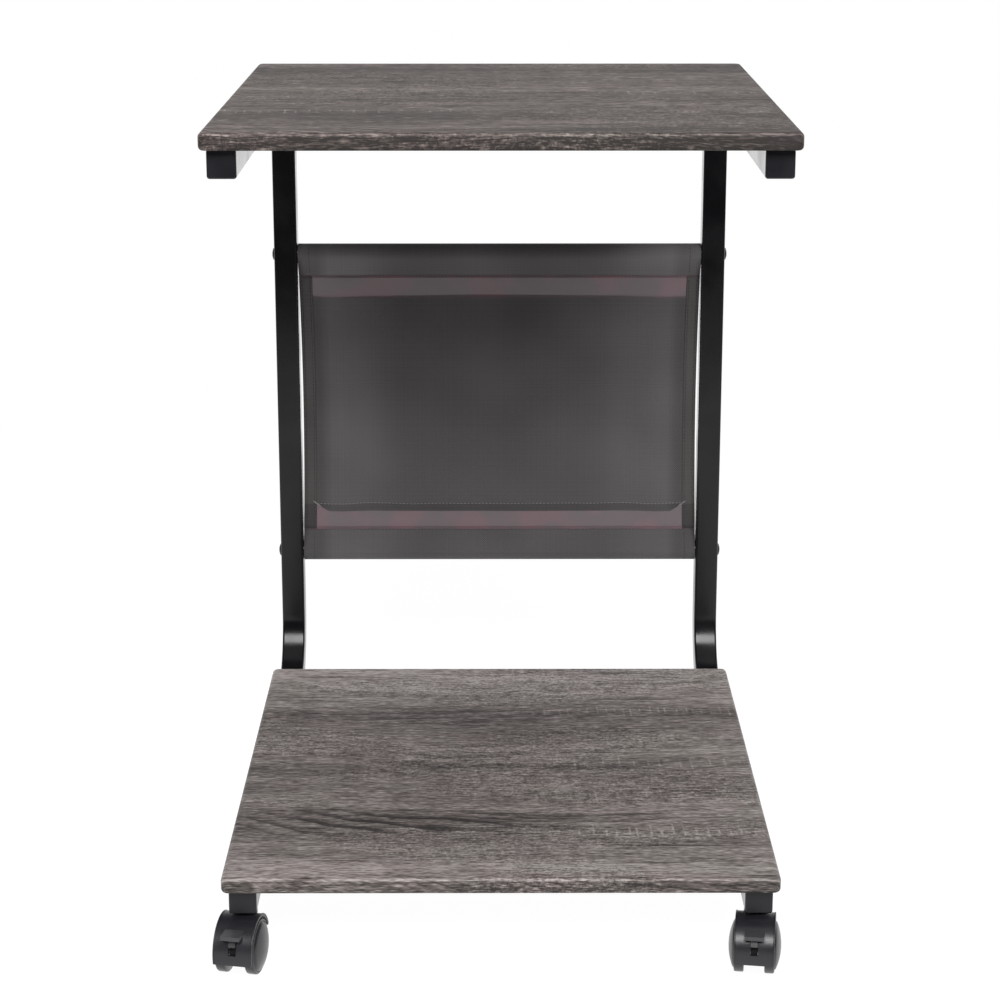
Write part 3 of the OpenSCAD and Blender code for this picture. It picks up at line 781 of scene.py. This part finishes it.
def cloth_material(name, dark, light, see_through, single=()):
    """Woven polyester. Where it is single, the gaps between its threads let light through, and
    it is painted a lighter mauve as painted light coming through it.
    """
    material, tree, surface = new_material(name)
    place = node_in(tree, "ShaderNodeUVMap", uv_map="cloth").outputs["UV"]
    cloth = place_group(tree, weave, {"Place": place, "Threads": 1000.0})
    spots = node_in(tree, "ShaderNodeTexNoise", {
        "Vector": place, "Scale": 11.0, "Detail": 1.0}, noise_dimensions="2D").outputs[0]
    blend = plus(tree, times(tree, cloth["Shade"], 0.45), times(tree, spots, 0.55))
    relief = times(tree, cloth["Height"], 0.40)
    blend = fade(tree, plus(tree, blend, minus(tree, relief, 0.20)), 0.25, 0.75)
    colour = mixed(tree, blend, dark, light)
    run = node_in(tree, "ShaderNodeSeparateXYZ", {"Vector": place}).outputs
    inward = minus(tree, hem_inner, value_of(tree, "ABSOLUTE", run["X"]))
    alone = 0.0
    for low, high, blur, cut in single:
        slant = times(tree, inward, pocket_allowance / mitre)
        top = value_of(tree, "MAXIMUM", high, minus(tree, cut, slant))
        zone = times(tree, fade(tree, run["Y"], low - blur, low + blur),
                     fade(tree, minus(tree, run["Y"], top), 0.0006, -0.0006))
        alone = value_of(tree, "MAXIMUM", alone, zone)
    # Painted light and shade: darker next to the hems, lighter from 17 to 34 mm in, and darker
    # again towards the middle, for the way the cloth's folds take the light
    painted_light_and_shade = times(tree, fade(tree, inward, 0.003, 0.017, 0.80, 1.12),
                    fade(tree, inward, 0.034, 0.080, 1.0, 0.80))
    # Painted light: the upper sleeve is painted 35% lighter, where its top takes the light from
    # above
    sleeve = fade(tree, run["Y"], panel_rise - 0.001, panel_rise + 0.001, 1.0, 1.35)
    seam_way, stitch_way = pocket_seam - panel_mid, lower_stitch - panel_mid
    # Painted shade: the doubled strip just below the pocket's seam is painted a quarter darker
    doubled_strip_painted_shade = times(tree, fade(tree, run["Y"], seam_way + 0.0002, seam_way - 0.0006),
                    fade(tree, run["Y"], stitch_way - 0.001, stitch_way))
    painted_light_and_shade = times(tree, painted_light_and_shade, sleeve, minus(tree, 1.0, times(tree, doubled_strip_painted_shade, 0.25)))
    colour = node_in(tree, "ShaderNodeVectorMath", {
        0: colour, "Scale": painted_light_and_shade}, operation="SCALE").outputs[0]
    patches = node_in(tree, "ShaderNodeTexNoise", {
        "Vector": place, "Scale": 26.0, "Detail": 2.0}, noise_dimensions="2D").outputs[0]
    # Painted light: where the cloth is single it is painted a lighter mauve, in patches, for the
    # light that comes through it
    glow = mixed(tree, fade(tree, patches, 0.38, 0.62),
                 (0.150, 0.120, 0.129), (0.192, 0.120, 0.138))
    gap = fade(tree, cloth["Height"], 0.0, 1.0, 1.4 * see_through, 0.6 * see_through)
    cover = minus(tree, 1.0, times(tree, gap, alone))
    coat(tree, surface, {
        "Base Color": mixed(tree, alone, colour, glow),
        "Roughness": fade(tree, blend, 0.0, 1.0, 0.9, 0.78),
        "Normal": relief_of(tree, cloth["Height"], 0.5), "Alpha": cover,
        "Sheen Weight": 0.15, "Sheen Roughness": 0.5, "Specular IOR Level": 0.2})
    return material


# Between the sleeves and the pocket the cloth is single: from, to, blur, mitred up to
pocket_low, pocket_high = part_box("pocket_panel")
pocket_allowance = 0.007
pocket_seam = pocket_low.z + pocket_allowance
mitre = 0.011
single_zones = [
    (lower_stitch - panel_mid, pocket_low.z - panel_mid, 0.0005, pocket_seam - panel_mid),
    (pocket_high.z - panel_mid, panel_rise, 0.0025, 0.0)]
sling_cloth = cloth_material("sling_cloth", (0.084, 0.080, 0.080), (0.124, 0.118, 0.119), 0.20,
                             single_zones)
hem_cloth = cloth_material("hem_tape", (0.075, 0.069, 0.069), (0.115, 0.107, 0.107), 0.0)


def thicken(piece, thickness, offset=0.0):
    wall = piece.modifiers.new("thickness", "SOLIDIFY")
    wall.thickness = thickness
    wall.offset = offset


cloth_step = 0.0022
bm = flat_cloth(2 * sling_half, 2 * half_length, 70, round(2 * half_length / cloth_step))
for vert in bm.verts:
    offset, height = cloth_way(abs(vert.co.y))
    if vert.co.y < 0:
        height = lower_bar.z + upper_bar.z - height
    vert.co = settle(Vector((vert.co.x, panel_y + offset, height)))
bmesh.ops.recalc_face_normals(bm, faces=bm.faces)
sling = add_piece("sling_cloth", bm, sling_cloth, "stand", ["sling_panel"])
thicken(sling, cloth_t)


# ---------------------------------------------------------------------------
# The pocket: a second cloth sewn to the sling's back along its bottom and both
# sides. It hangs a little slack, so its mouth falls open behind the sling.
# ---------------------------------------------------------------------------
pocket_half = pocket_high.x
pocket_start = pocket_low.y + 0.0002
pocket_depth = pocket_high.y - pocket_low.y - 0.001
pocket_rise = pocket_high.z - pocket_low.z
settling_frames = 30
mouth_sag = 0.0015
farthest = 0.010


def pocket_slack(x, z):
    """How far the pocket stands off before it has settled."""
    open_share = max(0, (z - pocket_seam) / (pocket_high.z - pocket_seam))
    return pocket_depth * max(0, 1 - (x / (hem_inner - 0.001)) ** 2) * math.sin(
        math.pi / 2 * math.sqrt(open_share))


bm = flat_cloth(2 * pocket_half, pocket_rise, 72, 40)
for vert in bm.verts:
    x, z = vert.co.x, vert.co.y + (pocket_low.z + pocket_high.z) / 2
    vert.co = (x, pocket_start + cloth_t / 2 + pocket_slack(x, z), z)
pocket = add_piece("pocket_cloth", bm, sling_cloth, "stand", ["pocket_panel"])
held = pocket.vertex_groups.new(name="sewn")
sewn = [v.index for v in pocket.data.vertices
        if v.co.z < pocket_seam + 0.001 or abs(v.co.x) > hem_inner - 0.002]
held.add(sewn, 1.0, "REPLACE")
cloth = pocket.modifiers.new("cloth", "CLOTH")
cloth.settings.vertex_group_mass = "sewn"
cloth.settings.quality = 6
cloth.settings.mass = 0.12
cloth.settings.tension_stiffness = 25
cloth.settings.compression_stiffness = 25
cloth.settings.bending_stiffness = 1.2
cloth.settings.air_damping = 3
cloth.point_cache.frame_start = 1
cloth.point_cache.frame_end = settling_frames
for number in range(settling_frames):
    scene.frame_set(number + 1)
settled = bpy.data.meshes.new_from_object(
    pocket.evaluated_get(bpy.context.evaluated_depsgraph_get()))
for vert, rested in zip(pocket.data.vertices, settled.vertices):
    reach = rested.co - vert.co
    reach.z = max(reach.z, -mouth_sag)
    if reach.length > farthest:
        reach *= farthest / reach.length
    vert.co = vert.co + reach
    vert.co.y = min(max(vert.co.y, pocket_start + cloth_t / 2), pocket_high.y - cloth_t / 2)
pocket.modifiers.clear()
bpy.data.meshes.remove(settled)
scene.frame_set(1)
for vert in pocket.data.vertices:
    vert.co = settle(vert.co)
bm = bmesh.new()
bm.from_mesh(pocket.data)
for side in (-1, 1):
    corner = Vector((side * hem_inner, 0, pocket_seam))
    bmesh.ops.bisect_plane(bm, geom=bm.verts[:] + bm.edges[:] + bm.faces[:],
                           plane_co=corner, plane_no=(side, 0, -mitre / pocket_allowance))
middles = {face: face.calc_center_median() for face in bm.faces}
outside = [face for face, at in middles.items() if at.z < pocket_seam
           and abs(at.x) - hem_inner > (at.z - pocket_seam) * mitre / pocket_allowance]
bmesh.ops.delete(bm, geom=outside, context="FACES")
bm.to_mesh(pocket.data)
bm.free()
thicken(pocket, cloth_t)

# The mouth's edge, bound with a folded strip
mouth_drop = 0.009
mouth_gap = cloth_t + 0.0002
mouth_fold = 0.0006
bm = bmesh.new()
bm.from_mesh(pocket.data)
mouth_verts = sorted((v.co.copy() for v in bm.verts if abs(v.co.x) < hem_inner + 0.002
                      and v.co.z > pocket_high.z - 0.02 and v.is_boundary), key=lambda c: c.x)
bm.free()
bm = bmesh.new()
line = [bm.verts.new(co) for co in mouth_verts]
edges = [bm.edges.new(pair) for pair in zip(line, line[1:])]
bmesh.ops.translate(bm, vec=(0, -mouth_gap, -mouth_drop), verts=bm.verts)
for step in ((0, 0, mouth_drop), (0, mouth_gap * 0.4, mouth_fold), (0, mouth_gap * 1.2, 0),
             (0, mouth_gap * 0.4, -mouth_fold), (0, 0, -mouth_drop)):
    edges = move_out(bm, edges, step)
layer = bm.loops.layers.uv.new("cloth")
for face in bm.faces:
    for loop in face.loops:
        loop[layer].uv = (loop.vert.co.x, loop.vert.co.z + loop.vert.co.y)
mouth = add_piece("pocket_mouth_binding", bm, hem_cloth, "stand", ())
thicken(mouth, 0.0005)


# ---------------------------------------------------------------------------
# The side hems: strips folded round the side edges of both cloths and sewn
# through.
# ---------------------------------------------------------------------------
hem_w = hem_high.x - hem_inner
hem_front = panel_y - cloth_t / 2 - 0.0005
hem_back = hem_high.y - 0.0005
hem_fold = hem_back - hem_front

for side, name in ((-1, "left"), (1, "right")):
    bm = flat_cloth(2 * hem_w + hem_fold, hem_high.z - hem_low.z, 26, 60)
    for vert in bm.verts:
        z = vert.co.y + (hem_low.z + hem_high.z) / 2
        across = abs(vert.co.x) - hem_fold / 2
        leg = hem_front if vert.co.x < 0 else hem_back
        if across > 0:
            x, y = sling_half - 0.0002 - across, leg
        else:
            x, y = sling_half - 0.0002, (hem_front + hem_back) / 2 + vert.co.x
        vert.co = settle(Vector((side * x, y, z)))
    bmesh.ops.recalc_face_normals(bm, faces=bm.faces)
    replaced = ["sling_side_hems"] if side < 0 else ()
    hem = add_piece(f"{name}_side_hem", bm, hem_cloth, "stand", replaced)
    thicken(hem, 0.0006)


# ---------------------------------------------------------------------------
# Sewing thread: short lock stitches along every seam, and bar tacks where the
# pocket's bottom seam meets the hems.
# ---------------------------------------------------------------------------
thread_material = cloth_material("sewing_thread", (0.24, 0.225, 0.225), (0.34, 0.32, 0.32), 0.0)
stitch_pitch = 0.0032
stitch_length = 0.0025
thread_r = 0.00028


def stitch_run(bm, start, end, offset, wobble=0.0):
    """Stitches in a row on the front of the cloth, between two points (x, z)."""
    run = (Vector(end) - Vector(start)).length
    count = max(1, round(run / stitch_pitch))
    for number in range(count):
        ends = []
        for share in (number / count, (number + stitch_length / stitch_pitch) / count):
            x, z = Vector(start).lerp(Vector(end), share)
            z += wobble * noise.noise(Vector((x * 30, 2.5, 0)))
            place = settle(Vector((x, panel_y, z)))
            ends.append(place + Vector((0, offset, 0)))
        one_stitch(bm, *ends)


def sleeve_run(bm, x, end):
    """Stitches up the front of one sleeve; end is 1 for the upper and -1 for the lower."""
    run = panel_rise + 0.003
    while run < panel_rise + side_run + 0.4 * wrap_run:
        ends = []
        for way in (run, run + stitch_length):
            here, ahead = Vector(cloth_way(way)), Vector(cloth_way(way + 0.0002))
            rise = (ahead - here).normalized()
            place = here + Vector((-rise.y, rise.x)) * (cloth_t / 2 + thread_r * 0.4)
            height = place.y if end > 0 else lower_bar.z + upper_bar.z - place.y
            ends.append(Vector((x, panel_y + place.x, height)))
        one_stitch(bm, *ends)
        run += stitch_pitch


def one_stitch(bm, first, last):
    """A single stitch, thick in the middle and sunk at both ends."""
    way = last - first
    made = bmesh.ops.create_uvsphere(bm, u_segments=6, v_segments=4, radius=1)
    shape = Matrix.Diagonal((thread_r, thread_r, way.length / 2, 1))
    turn = way.to_track_quat("Z", "Y").to_matrix().to_4x4()
    bmesh.ops.transform(bm, matrix=Matrix.Translation((first + last) / 2) @ turn @ shape,
                        verts=made["verts"])


bm = bmesh.new()
on_cloth = -cloth_t / 2 - thread_r * 0.4
on_hem = hem_front - panel_y - 0.0003 - thread_r * 0.4
stitch_run(bm, (-hem_inner, pocket_seam), (hem_inner, pocket_seam), on_cloth, 0.0008)
stitches = add_piece("pocket_stitching", bm, thread_material, "stand", ())

dark_thread = cloth_material("dark_thread", (0.028, 0.026, 0.027), (0.045, 0.042, 0.043), 0.0)
bm = bmesh.new()
for z in (upper_stitch, lower_stitch):
    stitch_run(bm, (-sling_half + 0.002, z), (sling_half - 0.002, z), on_cloth)
for side in (-1, 1):
    for x in (side * (hem_inner + 0.0015), side * (sling_half - 0.0025)):
        stitch_run(bm, (x, lower_stitch + 0.003), (x, upper_stitch - 0.003), on_hem)
    for end in (-1, 1):
        sleeve_run(bm, side * (hem_inner + 0.0015), end)
seams = add_piece("sleeve_and_hem_stitching", bm, dark_thread, "stand", ())

tack_stitches = 9
bm = bmesh.new()
for side in (-1, 1):
    for number in range(tack_stitches):
        x = side * (hem_inner - 0.004 + number * 0.0007)
        z = pocket_seam - 0.003 + number * 0.0005
        first = settle(Vector((x, panel_y, z))) + Vector((0, on_hem, 0))
        last = settle(Vector((x + side * 0.0012, panel_y, z + 0.0022))) + Vector((0, on_hem, 0))
        one_stitch(bm, first, last)
tacks = add_piece("bar_tacks", bm, thread_material, "stand", ())


# ---------------------------------------------------------------------------
# The casters: moulded nylon hoods on zinc stems, each over two domed wheels that
# turn on a zinc axle. The front two have a brake lever with a flat foot tab.
# ---------------------------------------------------------------------------
caster_plastic = skin_material("caster_nylon", (0.0125, 0.012, 0.0155), (0.017, 0.0165, 0.021),
                               0.30, 0.42, 1300.0, 0.25)
wheel_plastic = skin_material("wheel_nylon", (0.0118, 0.0115, 0.0145), (0.0175, 0.017, 0.021),
                              0.24, 0.36, 1100.0, 0.22)
joints = {joint["name"]: joint for joint in frame["joints"]}
casters = ("front_left", "front_right", "rear_left", "rear_right")
wheel_r = 0.020
wheel_in = 0.0075
wheel_out = 0.019
dome = 0.0045
wheel_bore = 0.00255
shutter_r = 0.0208


def caster_place(caster):
    """Where a caster's axle is: X runs along it, and the hood faces -Y."""
    joint = joints[f"{caster}_left_wheel_spin"]
    along = Vector(joint["axis"])
    up = Vector((0, 0, 1))
    turn = Matrix((along, up.cross(along), up)).transposed().to_4x4()
    return Matrix.Translation(joint["pos_m"]) @ turn


def spun_about_x(points, steps=72):
    """Turns an outline of (x, radius) points once round the X axis."""
    bm = bmesh.new()
    line = [bm.verts.new((x, 0, radius)) for x, radius in points]
    for pair in zip(line, line[1:]):
        bm.edges.new(pair)
    bmesh.ops.spin(bm, geom=bm.verts[:] + bm.edges[:], cent=(0, 0, 0), axis=(1, 0, 0),
                   dvec=(0, 0, 0), angle=2 * math.pi, steps=steps, use_merge=True)
    bmesh.ops.remove_doubles(bm, verts=bm.verts, dist=1e-6)
    bmesh.ops.recalc_face_normals(bm, faces=bm.faces)
    return bm


def wheel_outline():
    """Half a wheel's section: bore, inner face, tread, rim groove and dome."""
    rim = wheel_r - 0.0022
    shoulder = wheel_out - dome
    ball = (rim ** 2 + (dome - 0.0006) ** 2) / (2 * (dome - 0.0006))
    points = [(wheel_in + 0.008, 0), (wheel_in + 0.008, wheel_bore), (wheel_in, wheel_bore),
              (wheel_in, wheel_r - 0.0008), (wheel_in + 0.0003, wheel_r - 0.0002),
              (wheel_in + 0.0009, wheel_r), (shoulder - 0.0012, wheel_r),
              (shoulder - 0.0004, wheel_r - 0.00025), (shoulder, wheel_r - 0.0009),
              (shoulder, wheel_r - 0.0016), (shoulder - 0.0004, wheel_r - 0.0018),
              (shoulder - 0.0004, wheel_r - 0.0021), (shoulder + 0.0001, wheel_r - 0.0023)]
    for number in range(1, 13):
        angle = math.asin(rim / ball) * (1 - number / 12)
        points.append((wheel_out - ball + ball * math.cos(angle), ball * math.sin(angle)))
    return points


def lever_plastic_with_painted_shade(name, pivot, axis):
    """The lever's nylon with painted shade: painted near black and matt within the shutter's
    radius of the pivot, deep in the hood, and smooth nylon on the foot tab.
    """
    material, tree, surface = new_material(name)
    place, skin = skin_of(tree, 1300.0)
    arm = node_in(tree, "ShaderNodeVectorMath", {0: place, 1: pivot}, operation="SUBTRACT")
    lift = node_in(tree, "ShaderNodeVectorMath", {0: arm.outputs[0], 1: axis},
                   operation="CROSS_PRODUCT")
    radius = node_in(tree, "ShaderNodeVectorMath", {0: lift.outputs[0]}, operation="LENGTH")
    # Painted shade: inside the shutter's radius the lever is painted near black and matt, as the
    # shade deep in the hood
    outside = fade(tree, radius.outputs["Value"], shutter_r, shutter_r + 0.0003)
    nylon = mixed(tree, skin["Cloudiness"], (0.038, 0.037, 0.041), (0.054, 0.053, 0.058))
    coat(tree, surface, {
        "Base Color": mixed(tree, outside, (0.0015, 0.0015, 0.0016), nylon),
        "Roughness": fade(tree, outside, 0.0, 1.0, 0.95, 0.38),
        "Normal": relief_of(tree, skin["Height"], 0.25)})
    return material


for caster in casters:
    place = caster_place(caster)
    repaint(f"{caster}_caster_stem", zinc)
    repaint(f"{caster}_caster_axle", zinc)
    repaint(f"{caster}_caster_hood", caster_plastic)
    for side, name in ((-1, "left"), (1, "right")):
        bm = spun_about_x([(side * x, radius) for x, radius in wheel_outline()])
        bmesh.ops.transform(bm, matrix=place, verts=bm.verts)
        node = f"{caster}_{name}_wheel"
        wheel = add_piece(f"{node}_domed", bm, wheel_plastic, node, [node])
        split_edges(wheel, 45)

# A raised bead along both side rims of every hood
hood_r = 0.0234
hood_half = 0.0145
bead_r = 0.0006
bead_start = math.radians(13)
bead_turn = math.radians(-172)

for caster in casters:
    bm = bmesh.new()
    for side in (-1, 1):
        ring = bmesh.ops.create_circle(bm, cap_ends=False, segments=8, radius=bead_r)["verts"]
        bmesh.ops.translate(bm, vec=(side * (hood_half - bead_r), 0.3 * bead_r - hood_r, 0),
                            verts=ring)
        bmesh.ops.rotate(bm, cent=(0, 0, 0), matrix=Matrix.Rotation(bead_start, 3, "X"),
                         verts=ring)
        edges = list({e for v in ring for e in v.link_edges})
        turn_out(bm, edges, (0, 0, 0), bead_turn, 40)
    bmesh.ops.holes_fill(bm, edges=[e for e in bm.edges if e.is_boundary], sides=0)
    bmesh.ops.recalc_face_normals(bm, faces=bm.faces)
    bmesh.ops.transform(bm, matrix=caster_place(caster), verts=bm.verts)
    add_piece(f"{caster}_hood_beads", bm, caster_plastic, f"{caster}_caster", ())

for caster in casters[:2]:
    joint = joints[f"{caster}_left_wheel_spin"]
    lever = lever_plastic_with_painted_shade(f"{caster}_lever_nylon_painted_shade", joint["pos_m"], joint["axis"])
    repaint(f"{caster}_brake_lever", lever)
